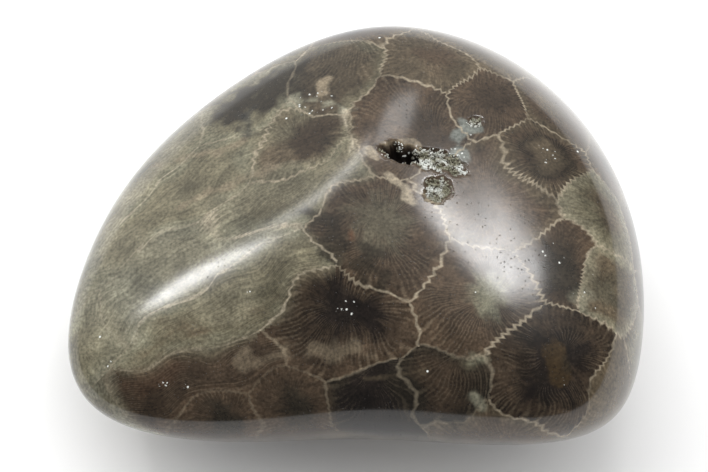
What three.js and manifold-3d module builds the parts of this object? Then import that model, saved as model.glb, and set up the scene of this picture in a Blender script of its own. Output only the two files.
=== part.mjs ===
// A hand-sized pebble of colonial fossil coral, ground and polished all over.
// It is one solid stone, about 74 mm long, with a small crystal-lined cavity in its crown.
// The frame has X along the length, Z up, and its origin on the resting flat, below the middle of the stone.
import * as THREE from 'three';
import { mergeVertices } from 'three/addons/utils/BufferGeometryUtils.js';
import Module from 'manifold-3d';

// Driving dimensions, in millimetres and degrees.

// The stone is shaped like flats that meet in wide, soft edges, as on any tumbled pebble. Each distance
// runs from the core of the stone to a flat. Azimuths turn from +X towards +Y.

// The girdle is the broadest outline of the stone. Its plane leans, with the back higher than the front.
const GIRDLE_TILT = 30;
const GIRDLE_FLATS = [
  { around: 0, distance: 41.5 },
  { around: 32, distance: 35.5 },
  { around: 60, distance: 33 },
  { around: 92, distance: 28.5 },
  { around: 125, distance: 26 },
  { around: 155, distance: 32 },
  { around: 180, distance: 45 },
  { around: 203, distance: 55 },
  { around: 230, distance: 43 },
  { around: 270, distance: 27.5 },
  { around: 334, distance: 45.5 },
];

const UPPER_FLATS = [
  { name: 'crown', azimuth: 75, elevation: 84, distance: 14 },
  { name: 'right table', azimuth: 8, elevation: 83, distance: 12.5 },
  { name: 'left slope', azimuth: 150, elevation: 66, distance: 12.5 },
  { name: 'left front facet', azimuth: 218, elevation: 73, distance: 12.5 },
  { name: 'front slope', azimuth: 258, elevation: 48, distance: 23 },
  { name: 'right front slope', azimuth: 322, elevation: 40, distance: 38 },
  { name: 'right back shoulder', azimuth: 45, elevation: 52, distance: 25 },
  { name: 'left end', azimuth: 180, elevation: 35, distance: 37 },
  { name: 'right end', azimuth: 5, elevation: 38, distance: 32 },
];

const LOWER_FLATS = [
  { name: 'front underside', azimuth: 270, elevation: -70, distance: 25 },
  { name: 'back underside', azimuth: 90, elevation: -48, distance: 28 },
  { name: 'left underside', azimuth: 185, elevation: -60, distance: 31 },
  { name: 'right underside', azimuth: 355, elevation: -60, distance: 31 },
];

// The soft edges between the flats get tighter as this power rises.
const EDGE_POWER = 8;

// A gentle hollow in the middle of the front. Spread is the angle from its middle to its shoulder.
const FRONT_HOLLOW = { azimuth: 270, elevation: 5, spread: 18, depth: 2 };

// The flat that the stone rests on lies this far below the core.
const FOOT_DEPTH = 23.5;

// The cavity is a run of rounded pockets sunk straight down from the crown, which is nearly level there.
// Azimuth and elevation aim from the core at the mouth of a pocket, and turn is about the vertical.
const POCKETS = [
  { name: 'throat', azimuth: 45, elevation: 55, length: 5.6, width: 2.6, depth: 3.2, turn: -22 },
  { name: 'bed', azimuth: 25, elevation: 46, length: 8.4, width: 3.2, depth: 1.7, turn: -12 },
  { name: 'side hollow', azimuth: 0, elevation: 47, length: 4.2, width: 3.0, depth: 1.4, turn: 60 },
  { name: 'pinhole', azimuth: 35, elevation: 28, length: 2.6, width: 1.4, depth: 1.1, turn: 35 },
];

// How finely the surfaces are divided.
const STONE_DETAIL = 15;
const POCKET_SEGMENTS = 18;
const POCKET_RINGS = 10;

const ALONG = new THREE.Vector3(1, 0, 0);
const UP = new THREE.Vector3(0, 0, 1);

const wasm = await Module();
wasm.setup();

function direction(azimuth, elevation) {
  const turn = THREE.MathUtils.degToRad(azimuth);
  const rise = THREE.MathUtils.degToRad(elevation);
  return new THREE.Vector3(Math.cos(rise) * Math.cos(turn), Math.cos(rise) * Math.sin(turn), Math.sin(rise));
}

function girdleDirection(around) {
  const turn = THREE.MathUtils.degToRad(around);
  const tilt = THREE.MathUtils.degToRad(GIRDLE_TILT);
  return new THREE.Vector3(Math.cos(turn), Math.sin(turn), 0).applyAxisAngle(ALONG, tilt);
}

// Each flat is kept as its outward direction divided by its distance from the core.
const flats = [
  ...GIRDLE_FLATS.map(({ around, distance }) => girdleDirection(around).divideScalar(distance)),
  ...[...UPPER_FLATS, ...LOWER_FLATS].map(({ azimuth, elevation, distance }) =>
    direction(azimuth, elevation).divideScalar(distance)),
];

const hollowMiddle = direction(FRONT_HOLLOW.azimuth, FRONT_HOLLOW.elevation);
const hollowSharpness = 1 / THREE.MathUtils.degToRad(FRONT_HOLLOW.spread) ** 2;

// The distance from the core to the polished surface along a unit direction.
function surfaceRadius(aim) {
  let sum = 0;
  for (const flat of flats) {
    sum += Math.max(0, aim.dot(flat)) ** EDGE_POWER;
  }
  const hollow = FRONT_HOLLOW.depth * Math.exp((aim.dot(hollowMiddle) - 1) * hollowSharpness);
  return sum ** (-1 / EDGE_POWER) - hollow;
}

function surfacePoint(azimuth, elevation) {
  const aim = direction(azimuth, elevation);
  return aim.multiplyScalar(surfaceRadius(aim));
}

// A closed geometry as a solid that can be cut.
function toSolid(geometry) {
  geometry.deleteAttribute('normal');
  geometry.deleteAttribute('uv');
  const merged = mergeVertices(geometry);
  const mesh = new wasm.Mesh({
    numProp: 3,
    vertProperties: new Float32Array(merged.attributes.position.array),
    triVerts: new Uint32Array(merged.index.array),
  });
  return new wasm.Manifold(mesh);
}

function toGeometry(solid) {
  const { vertProperties, triVerts } = solid.getMesh();
  const geometry = new THREE.BufferGeometry();
  geometry.setAttribute('position', new THREE.BufferAttribute(vertProperties, 3));
  geometry.setIndex(new THREE.BufferAttribute(triVerts, 1));
  geometry.computeVertexNormals();
  return geometry;
}

function pebble() {
  const geometry = new THREE.IcosahedronGeometry(1, STONE_DETAIL);
  const place = geometry.attributes.position;
  const aim = new THREE.Vector3();
  for (let index = 0; index < place.count; index += 1) {
    aim.fromBufferAttribute(place, index).normalize();
    aim.multiplyScalar(surfaceRadius(aim));
    place.setXYZ(index, aim.x, aim.y, aim.z);
  }
  return toSolid(geometry);
}

// A block whose top is the resting flat, wider and deeper than the stone.
function groundBlock() {
  const size = 4 * FOOT_DEPTH;
  return toSolid(new THREE.BoxGeometry(size, size, size).translate(0, 0, -FOOT_DEPTH - size / 2));
}

// A pocket is an egg with its middle on the surface, so its lower half makes the hollow.
function pocket({ azimuth, elevation, length, width, depth, turn }) {
  const mouth = surfacePoint(azimuth, elevation);
  const geometry = new THREE.SphereGeometry(1, POCKET_SEGMENTS, POCKET_RINGS);
  geometry.scale(length / 2, width / 2, depth);
  geometry.applyQuaternion(new THREE.Quaternion().setFromAxisAngle(UP, THREE.MathUtils.degToRad(turn)));
  geometry.translate(mouth.x, mouth.y, mouth.z);
  return toSolid(geometry);
}

// The whole stone, moved so that it rests on Z = 0 with the middle of its box over the origin.
function coralStone() {
  let solid = pebble().subtract(groundBlock());
  for (const shape of POCKETS) {
    solid = solid.subtract(pocket(shape));
  }
  const geometry = toGeometry(solid);
  geometry.computeBoundingBox();
  const { min, max } = geometry.boundingBox;
  geometry.translate(-(min.x + max.x) / 2, -(min.y + max.y) / 2, -min.z);
  return geometry;
}

const polishedCoral = new THREE.MeshStandardMaterial({ color: 0x6a6052, roughness: 0.15, metalness: 0 });

const stone = new THREE.Mesh(coralStone(), polishedCoral);
stone.name = 'coral_stone';

const group = new THREE.Group();
group.add(stone);

export default group;
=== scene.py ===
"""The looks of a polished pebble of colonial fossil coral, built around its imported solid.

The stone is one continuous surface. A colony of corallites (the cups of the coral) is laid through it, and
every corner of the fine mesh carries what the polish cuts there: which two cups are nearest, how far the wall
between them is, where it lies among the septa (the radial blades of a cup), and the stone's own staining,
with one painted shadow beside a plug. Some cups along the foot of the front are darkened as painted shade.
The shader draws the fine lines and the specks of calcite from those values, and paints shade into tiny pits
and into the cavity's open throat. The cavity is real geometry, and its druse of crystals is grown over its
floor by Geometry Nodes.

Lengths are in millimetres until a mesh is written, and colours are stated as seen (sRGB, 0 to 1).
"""

import logging
import math
from dataclasses import dataclass
from enum import Enum

import bpy
import numpy as np
from mathutils import Matrix, Vector


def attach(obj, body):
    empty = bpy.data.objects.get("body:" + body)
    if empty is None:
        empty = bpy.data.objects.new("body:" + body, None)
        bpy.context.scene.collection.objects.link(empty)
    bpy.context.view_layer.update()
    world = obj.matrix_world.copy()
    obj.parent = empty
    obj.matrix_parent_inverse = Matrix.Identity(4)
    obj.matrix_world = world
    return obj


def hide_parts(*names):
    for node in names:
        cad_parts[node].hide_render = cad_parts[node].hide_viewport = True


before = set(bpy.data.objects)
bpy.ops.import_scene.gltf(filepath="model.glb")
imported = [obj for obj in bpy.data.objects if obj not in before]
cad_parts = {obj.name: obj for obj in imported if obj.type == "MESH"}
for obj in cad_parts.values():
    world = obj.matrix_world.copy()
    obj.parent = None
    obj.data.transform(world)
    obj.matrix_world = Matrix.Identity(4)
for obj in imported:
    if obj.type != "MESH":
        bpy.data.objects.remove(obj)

LOG = logging.getLogger("coral_pebble")
METRES = 0.001
CAD_NODE = "coral_stone"


# Small geometry helpers


def aim(azimuth: float, elevation: float) -> np.ndarray:
    """Returns the unit vector at an azimuth from +X towards +Y and an elevation above level, in degrees."""
    turn, rise = math.radians(azimuth), math.radians(elevation)
    return np.array([math.cos(rise) * math.cos(turn), math.cos(rise) * math.sin(turn), math.sin(rise)])


def unit(vectors: np.ndarray) -> np.ndarray:
    """Returns the vectors along the last axis scaled to length one."""
    return vectors / np.maximum(np.linalg.norm(vectors, axis=-1, keepdims=True), 1e-12)


def smooth(value: np.ndarray, low: float, high: float) -> np.ndarray:
    """Returns a smooth rise from 0 at low to 1 at high."""
    share = np.clip((value - low) / (high - low), 0.0, 1.0)
    return share * share * (3.0 - 2.0 * share)


def linear(seen: np.ndarray) -> np.ndarray:
    """Returns sRGB values as linear light."""
    seen = np.asarray(seen, float)
    return np.where(seen <= 0.04045, seen / 12.92, ((seen + 0.055) / 1.055) ** 2.4)


def mixed(first: np.ndarray, second: np.ndarray, share: np.ndarray) -> np.ndarray:
    """Returns rows of colour mixed by a share of the second."""
    return first + (second - first) * share[:, None]


class Wander:
    """A gentle seeded wander through space: a sum of sine waves in random directions, about -1 to 1."""

    def __init__(self, seed: int, wavelength: float, waves: int = 14) -> None:
        """Draws the waves.

        Args:
            seed: The seed of the wander.
            wavelength: The middle wavelength, in millimetres.
            waves: How many waves are added.
        """
        draw = np.random.default_rng(seed)
        length = wavelength * draw.uniform(0.6, 1.6, waves)
        self.paths = unit(draw.normal(size=(waves, 3))) * (2.0 * math.pi / length)[:, None]
        self.starts = draw.uniform(0.0, 2.0 * math.pi, waves)
        self.scale = math.sqrt(2.0 / waves)

    def __call__(self, points: np.ndarray) -> np.ndarray:
        """Returns the wander at each point."""
        return np.sin(points @ self.paths.T + self.starts).sum(-1) * self.scale


# The shape of the stone


@dataclass(frozen=True)
class Pocket:
    """One rounded pocket of the cavity, sunk straight down with its mouth at x, y."""

    x: float
    y: float
    length: float
    width: float
    depth: float
    turn: float

    def reach(self, points: np.ndarray) -> np.ndarray:
        """Measures how far out of the pocket's middle points are, seen from above.

        Args:
            points: One point a row.

        Returns:
            The square of each distance, as a share of the rim's.
        """
        turn = math.radians(self.turn)
        over, up = points[:, 0] - self.x, points[:, 1] - self.y
        long = (over * math.cos(turn) + up * math.sin(turn)) / (self.length / 2.0)
        wide = (up * math.cos(turn) - over * math.sin(turn)) / (self.width / 2.0)
        return long ** 2 + wide ** 2


class StoneForm:
    """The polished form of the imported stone, carried smoothly between the corners of its facets.

    The corners that lie on the polish are kept. Between them the distance from the core is a cubic radial
    basis function of the direction, so a reflection runs over the facets' edges without a break.
    """

    core_share: float = 0.67
    foot_margin: float = 0.3
    cavity_margin: float = 2.2
    slope_step: float = 0.01
    halvings: int = 24
    block: int = 4000

    def __init__(self, node: bpy.types.Object, pockets: tuple[Pocket, ...]) -> None:
        """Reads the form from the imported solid.

        Args:
            node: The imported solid.
            pockets: The cavity, whose corners aren't on the polish.
        """
        corners = np.array([vertex.co for vertex in node.data.vertices], float) / METRES
        self.low, self.high = corners.min(0), corners.max(0)
        self.middle = (self.low + self.high) / 2.0
        self.half = (self.high - self.low) / 2.0
        height = self.low[2] + self.core_share * (self.high[2] - self.low[2])
        self.core = np.array([self.middle[0], self.middle[1], height])
        kept = corners[:, 2] > self.low[2] + self.foot_margin
        for pocket in pockets:
            kept &= (pocket.reach(corners) > self.cavity_margin) | (corners[:, 2] < self.core[2])
        away = np.unique(np.round(corners[kept] - self.core, 4), axis=0)
        distance = np.linalg.norm(away, axis=1)
        self.aims = away / distance[:, None]
        flat = np.column_stack([np.ones(len(away)), self.aims])
        count = len(away)
        system = np.zeros((count + 4, count + 4))
        system[:count, :count] = self._kernel(self.aims)
        system[:count, count:] = flat
        system[count:, :count] = flat.T
        answer = np.linalg.solve(system, np.concatenate([distance, np.zeros(4)]))
        self.weights, self.drift = answer[:count], answer[count:]

    def _kernel(self, aims: np.ndarray) -> np.ndarray:
        """Returns the cube of the distance from each aim to each corner's aim."""
        square = np.maximum(2.0 - 2.0 * aims @ self.aims.T, 0.0)
        return square * np.sqrt(square)

    def radius(self, aims: np.ndarray) -> np.ndarray:
        """Measures from the core to the polished surface.

        Args:
            aims: One unit aim a row.

        Returns:
            The distance along each aim.
        """
        parts = [
            self._kernel(some) @ self.weights + self.drift[0] + some @ self.drift[1:]
            for some in np.array_split(aims, len(aims) // self.block + 1)
        ]
        foot = (self.core[2] - self.low[2]) / np.maximum(-aims[:, 2], 1e-6)
        return np.minimum(np.concatenate(parts), foot)

    def surface(self, aims: np.ndarray) -> np.ndarray:
        """Returns the surface points along aims from the core."""
        aims = unit(aims)
        return self.core + aims * self.radius(aims)[:, None]

    def lift(self, plan: np.ndarray) -> np.ndarray:
        """Returns the upper surface points above plan positions.

        Args:
            plan: Positions seen from above, one x, y pair a row.

        Returns:
            One point a row. A position past the rim gives the nearest height it reaches.
        """
        plan = np.atleast_2d(np.asarray(plan, float))
        low = np.full(len(plan), self.middle[2])
        high = np.full(len(plan), self.high[2] + 1.0)
        for _ in range(self.halvings):
            level = (low + high) / 2.0
            away = np.column_stack([plan, level]) - self.core
            inside = np.linalg.norm(away, axis=1) < self.radius(unit(away))
            low, high = np.where(inside, level, low), np.where(inside, high, level)
        return self.surface(np.column_stack([plan, low]) - self.core)

    def normals(self, points: np.ndarray) -> np.ndarray:
        """Works out the outward normals of the surface.

        Args:
            points: One surface point a row.

        Returns:
            One unit normal a row.
        """
        slopes = []
        for step in np.eye(3) * self.slope_step:
            ahead, behind = points + step - self.core, points - step - self.core
            rise = np.linalg.norm(ahead, axis=1) - self.radius(unit(ahead))
            slopes.append(rise - np.linalg.norm(behind, axis=1) + self.radius(unit(behind)))
        return unit(np.column_stack(slopes))


@dataclass(frozen=True)
class CubeSphere:
    """A ball of even quads, crowded towards one side where the stone has its finest shape."""

    crowd_aim: tuple[float, float, float]
    divisions: int = 122
    crowd_strength: float = 0.55
    crowd_spread: float = 0.5

    def build(self) -> tuple[np.ndarray, np.ndarray]:
        """Makes the ball.

        Returns:
            The points on the unit ball, and the quads as rows of point numbers, facing out.
        """
        count = self.divisions + 1
        steps = np.tan(np.linspace(-math.pi / 4.0, math.pi / 4.0, count))
        across, up = np.meshgrid(steps, steps, indexing="ij")
        ones = np.ones_like(across)
        sheets = [(ones, across, up), (-ones, -across, up), (-across, ones, up),
                  (across, -ones, up), (-up, across, ones), (up, across, -ones)]
        points = unit(np.concatenate([np.stack(sheet, -1).reshape(-1, 3) for sheet in sheets]))
        corner = (np.arange(self.divisions)[:, None] * count + np.arange(self.divisions)).ravel()
        square = np.stack([corner, corner + count, corner + count + 1, corner + 1], -1)
        quads = np.concatenate([square + number * count * count for number in range(len(sheets))])
        keys = np.round(points * 1e6).astype(np.int64)
        _, first, place = np.unique(keys, axis=0, return_index=True, return_inverse=True)
        return self._crowd(points[first]), place.ravel()[quads]

    def _crowd(self, points: np.ndarray) -> np.ndarray:
        """Draws the ball's points towards its crowded side.

        Args:
            points: The points on the unit ball.

        Returns:
            The moved points, still on the ball.
        """
        middle = unit(np.array(self.crowd_aim))
        angle = np.arccos(np.clip(points @ middle, -1.0, 1.0))
        side = unit(points - np.cos(angle)[:, None] * middle)
        nearer = angle * (1.0 - self.crowd_strength * np.exp(-((angle / self.crowd_spread) ** 2)))
        return unit(np.cos(nearer)[:, None] * middle + np.sin(nearer)[:, None] * side)


# Colours of the stone


class Tone(Enum):
    """Body colours of the stone, as seen without any shine."""

    INK = (0.10, 0.08, 0.07)
    SOOT = (0.16, 0.14, 0.11)
    UMBER = (0.22, 0.18, 0.14)
    BROWN = (0.28, 0.23, 0.18)
    RUST = (0.35, 0.235, 0.16)
    AMBER = (0.21, 0.165, 0.105)
    SLATE = (0.20, 0.20, 0.185)
    DRAB = (0.29, 0.27, 0.22)
    TAUPE = (0.33, 0.29, 0.23)
    OLIVE = (0.39, 0.37, 0.30)
    SAGE = (0.47, 0.46, 0.385)
    SAND = (0.475, 0.455, 0.38)
    ASH = (0.52, 0.51, 0.44)
    BEIGE = (0.53, 0.48, 0.40)
    CREAM = (0.68, 0.64, 0.56)
    PLASTER = (0.60, 0.555, 0.475)
    FROST = (0.44, 0.455, 0.43)
    SUGAR = (0.86, 0.87, 0.85)

    @property
    def light(self) -> np.ndarray:
        """The colour in linear light."""
        return linear(self.value)

    @property
    def opaque(self) -> tuple[float, ...]:
        """The colour in linear light, with a full alpha."""
        return (*self.light, 1.0)


# The coral colony


@dataclass(frozen=True)
class Corallite:
    """One cup of the colony, where the polish cuts it.

    x and y place its middle, seen from above, and reach is about half its width. The septa meet at its heart,
    which may be off the middle. A cup that the polish cuts along its length lies along a bearing, in degrees
    from +X, with its heart sunk below the surface. A ring darkens it at its core radius, and over its blend
    its colour runs into the next cup's.
    """

    x: float
    y: float
    reach: float
    heart: tuple[float, float] | None = None
    bearing: float | None = None
    sunk: float = 0.0
    core: Tone = Tone.UMBER
    body: Tone = Tone.BROWN
    edge: Tone = Tone.TAUPE
    core_radius: float = 2.4
    septa: float = 0.6
    wall: float = 1.0
    wall_tone: Tone = Tone.PLASTER
    ring: float = 0.0
    blend: float = 0.0


# The cups of the blunt end, then those of the middle, then those that lie along the pointed end.
CUPS: tuple[Corallite, ...] = (
    Corallite(24.0, 5.0, 5.2, (24.5, 5.0), core=Tone.TAUPE, body=Tone.BROWN, edge=Tone.TAUPE, septa=1.0,
              core_radius=2.8, ring=0.65),
    Corallite(17.0, 14.0, 4.6, (18.0, 15.0), core=Tone.UMBER, body=Tone.BROWN, edge=Tone.BROWN, septa=0.8),
    Corallite(26.0, 15.5, 5.5, (26.0, 15.5), core=Tone.TAUPE, body=Tone.BROWN, edge=Tone.TAUPE, septa=0.6),
    Corallite(32.0, -1.0, 5.0, core=Tone.TAUPE, body=Tone.OLIVE, edge=Tone.SAND, septa=0.5),
    Corallite(26.0, -10.5, 5.0, (26.0, -11.5), core=Tone.SOOT, body=Tone.UMBER, edge=Tone.BROWN, septa=0.4,
              core_radius=4.0),
    Corallite(32.0, -12.0, 4.6, core=Tone.DRAB, body=Tone.TAUPE, edge=Tone.SAND, septa=0.4),
    Corallite(24.0, -24.5, 7.0, (25.0, -24.5), core=Tone.INK, body=Tone.UMBER, edge=Tone.UMBER, septa=1.0,
              core_radius=4.6, ring=0.3),
    Corallite(15.5, -16.5, 7.2, (17.0, -16.0), core=Tone.SAGE, body=Tone.BROWN, edge=Tone.BROWN, septa=1.0,
              core_radius=2.8),
    Corallite(17.0, -2.0, 7.5, (17.0, -1.5), core=Tone.BROWN, body=Tone.BROWN, edge=Tone.TAUPE, septa=0.6),
    Corallite(3.5, -8.5, 7.5, (3.0, -5.5), core=Tone.DRAB, body=Tone.UMBER, edge=Tone.BROWN, septa=1.0,
              core_radius=3.6),
    Corallite(-2.5, -18.0, 8.0, (-1.5, -16.5), core=Tone.INK, body=Tone.UMBER, edge=Tone.BROWN, septa=1.0,
              core_radius=4.6, ring=0.2),
    Corallite(5.5, 9.5, 6.5, (8.5, 7.5), core=Tone.UMBER, body=Tone.BROWN, edge=Tone.BROWN, septa=0.8,
              core_radius=3.0),
    Corallite(9.5, 20.0, 5.5, core=Tone.BROWN, body=Tone.TAUPE, edge=Tone.TAUPE, septa=0.6),
    Corallite(-3.5, 19.0, 6.5, (-1.0, 27.0), core=Tone.TAUPE, body=Tone.TAUPE, edge=Tone.OLIVE, septa=0.8),
    Corallite(-8.5, 7.0, 6.0, (-5.5, 8.5), core=Tone.SOOT, body=Tone.TAUPE, edge=Tone.OLIVE, septa=0.7,
              core_radius=3.0, blend=0.8),
    Corallite(11.5, -27.5, 4.0, (15.0, -23.0), core=Tone.OLIVE, body=Tone.UMBER, edge=Tone.SOOT, septa=0.7,
              core_radius=1.8, wall=0.4),
    # Partly painted shade: the dark tones of the cups along the foot of the front also stand for the shade on
    # that slope, which faces away from the lamps.
    Corallite(-8.0, -28.5, 5.0, core=Tone.SOOT, body=Tone.UMBER, edge=Tone.BROWN, septa=0.4, wall=0.3, blend=1.5),
    Corallite(-17.0, -28.5, 4.5, core=Tone.SOOT, body=Tone.UMBER, edge=Tone.BROWN, septa=0.4, wall=0.3,
              blend=1.5),
    Corallite(1.5, -28.0, 5.0, (4.0, -24.0), core=Tone.INK, body=Tone.INK, edge=Tone.SOOT, septa=0.5, wall=0.4),
    Corallite(-14.0, 17.0, 7.0, (-12.5, 17.5), core=Tone.OLIVE, body=Tone.OLIVE, edge=Tone.SAGE, septa=0.5,
              core_radius=3.6, wall=0.5, blend=1.2),
    Corallite(-20.5, 4.0, 3.5, bearing=30, sunk=3.0, core=Tone.OLIVE, body=Tone.OLIVE, edge=Tone.SAGE,
              septa=0.6, wall=0.9, blend=1.2),
    Corallite(-14.0, -3.0, 3.5, bearing=28, sunk=3.0, core=Tone.TAUPE, body=Tone.OLIVE, edge=Tone.SAGE,
              septa=0.6, wall=0.9, blend=1.2),
    Corallite(-22.0, -8.5, 4.0, bearing=30, sunk=3.5, core=Tone.SAGE, body=Tone.ASH, edge=Tone.ASH,
              septa=0.6, wall=0.9, wall_tone=Tone.CREAM, blend=1.5),
    Corallite(-17.5, -16.5, 4.0, bearing=24, sunk=3.0, core=Tone.TAUPE, body=Tone.OLIVE, edge=Tone.SAGE,
              septa=0.7, wall=0.8, wall_tone=Tone.CREAM, blend=2.0),
    # Partly painted shade: this cup's dark tones also stand for the shade along the foot of the front.
    Corallite(-24.0, -23.5, 4.0, bearing=15, sunk=3.0, core=Tone.UMBER, body=Tone.UMBER, edge=Tone.BROWN,
              septa=0.7, wall=0.45, wall_tone=Tone.BEIGE, blend=2.0),
    Corallite(-29.5, 7.0, 4.0, bearing=35, sunk=3.0, core=Tone.OLIVE, body=Tone.SAND, edge=Tone.SAGE,
              septa=0.5, wall=0.9, wall_tone=Tone.CREAM, blend=1.5),
)


@dataclass(frozen=True)
class StainAndShadow:
    """A soft patch or streak of colour along a path of plan positions. All are stains in the stone but one, a
    painted shadow.
    """

    path: tuple[tuple[float, float], ...]
    width: float
    tone: Tone
    cover: float = 0.7
    softness: float = 0.6
    ragged: float = 0.5


STAINS_AND_SHADOW: tuple[StainAndShadow, ...] = (
    # The dark bush on the back slope and its tail.
    StainAndShadow(((-15.5, 16.5), (-12.5, 17.5), (-9.5, 19.0)), 6.4, Tone.SOOT, 0.95, 1.6, 1.7),
    StainAndShadow(((-14.0, 15.0), (-14.0, 11.5)), 1.2, Tone.SLATE, 0.7, 0.6, 1.2),
    # The dark middle of the oval cup beside the crown.
    StainAndShadow(((-6.5, 7.0), (-5.0, 9.0), (-4.0, 11.0)), 4.2, Tone.UMBER, 0.75, 1.2, 1.2),
    # The pale crystal line along the top of that cup, and down its right side.
    StainAndShadow(((-9.0, 15.0), (-5.5, 14.5), (-2.5, 13.0), (-1.5, 12.0)), 0.9, Tone.ASH, 0.8, 0.5, 1.0),
    StainAndShadow(((-1.5, 12.0), (-1.5, 9.5), (-0.5, 6.5), (-1.0, 4.5)), 0.4, Tone.CREAM, 0.7, 0.25, 0.5),
    StainAndShadow(((-4.5, 17.5), (-4.5, 15.5)), 1.6, Tone.BEIGE, 0.8, 0.4, 0.8),
    # Pale bands between the cups that lie along the pointed end.
    StainAndShadow(((-27.0, 9.5), (-20.5, 9.0), (-15.0, 9.5)), 0.7, Tone.BEIGE, 0.5, 0.5, 0.8),
    StainAndShadow(((-23.0, 0.5), (-18.5, 2.0), (-14.0, 3.0), (-10.0, 4.5)), 0.8, Tone.BEIGE, 0.55, 0.5, 0.8),
    # The amber plug of the front right cup, with painted shadow along its left edge, and its darker bead.
    StainAndShadow(((23.2, -23.0), (23.4, -25.0), (24.3, -26.6), (25.6, -27.6)), 1.0, Tone.INK, 0.9, 0.35, 0.3),
    StainAndShadow(((24.9, -23.2), (25.6, -26.0)), 3.2, Tone.AMBER, 0.95, 0.3, 0.3),
    StainAndShadow(((26.3, -24.0), (26.5, -25.2)), 1.4, Tone.SOOT, 0.6, 0.3, 0.3),
    # The pale lip of the cavity and the vein that leads from it.
    StainAndShadow(((1.5, 5.0), (2.5, 3.5), (4.5, 1.5), (6.0, -0.5), (7.0, -3.0)), 1.1, Tone.PLASTER, 0.8, 0.2, 0.8),
    StainAndShadow(((3.5, 6.0), (6.0, 6.6), (8.0, 5.8)), 0.9, Tone.BEIGE, 0.8, 0.2, 0.6),
    StainAndShadow(((12.3, 3.5), (13.0, 6.5), (14.3, 9.0)), 2.0, Tone.FROST, 0.9, 0.35, 0.9),
    StainAndShadow(((8.5, 1.5), (11.5, 0.5), (13.0, 1.5)), 2.6, Tone.BROWN, 0.7, 0.7, 1.2),
    # The brown margin of the large grey cup, and a red fleck in it.
    StainAndShadow(((-4.0, -5.0), (-3.2, -7.5), (-1.4, -9.8), (1.0, -11.0), (3.5, -13.0)), 3.2, Tone.SOOT, 0.8, 0.9, 1.8),
    StainAndShadow(((-0.8, -7.0), (-0.7, -7.6)), 0.8, Tone.RUST, 0.8, 0.4, 0.6),
    # Bluish calcite in the black cups at the blunt end.
    StainAndShadow(((28.5, -15.0), (29.5, -14.0)), 1.4, Tone.ASH, 0.3, 0.9, 1.6),
    # Warm cloud and pale lines along the foot of the front.
    StainAndShadow(((-27.0, -23.0), (-25.0, -22.5)), 4.0, Tone.RUST, 0.16, 1.8, 1.0),
    StainAndShadow(((-15.0, -22.0), (-7.5, -22.0), (0.0, -22.0)), 1.4, Tone.BEIGE, 0.35, 0.8, 1.4),
    StainAndShadow(((1.0, -25.5), (8.5, -25.5), (16.0, -23.5)), 0.4, Tone.TAUPE, 0.6, 0.25, 0.3),
    StainAndShadow(((14.6, -24.0), (15.6, -24.6)), 1.2, Tone.SAGE, 0.85, 0.4, 0.6),
    StainAndShadow(((15.0, -29.0), (15.6, -29.6)), 1.2, Tone.ASH, 0.7, 0.4, 0.6),
)


@dataclass(frozen=True)
class Sparkle:
    """A place where small white crystals show in the polish."""

    x: float
    y: float
    radius: float
    share: float


SPARKLES: tuple[Sparkle, ...] = (
    Sparkle(24.5, 6.0, 1.6, 0.40),
    Sparkle(12.8, 5.0, 1.2, 0.30),
    Sparkle(14.0, 7.5, 1.2, 0.30),
    Sparkle(-1.5, -16.5, 1.7, 0.30),
    Sparkle(29.0, -15.0, 1.6, 0.25),
    Sparkle(31.0, -11.0, 1.4, 0.20),
    Sparkle(26.0, -9.0, 3.0, 0.04),
    Sparkle(26.2, -26.8, 0.5, 0.90),
    Sparkle(-5.5, 14.5, 2.8, 0.20),
    Sparkle(-24.5, -24.0, 0.6, 0.80),
    Sparkle(-21.5, -24.5, 0.5, 0.80),
    Sparkle(-13.5, -13.5, 0.5, 0.80),
    Sparkle(-31.5, -20.5, 0.5, 0.80),
)


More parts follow.
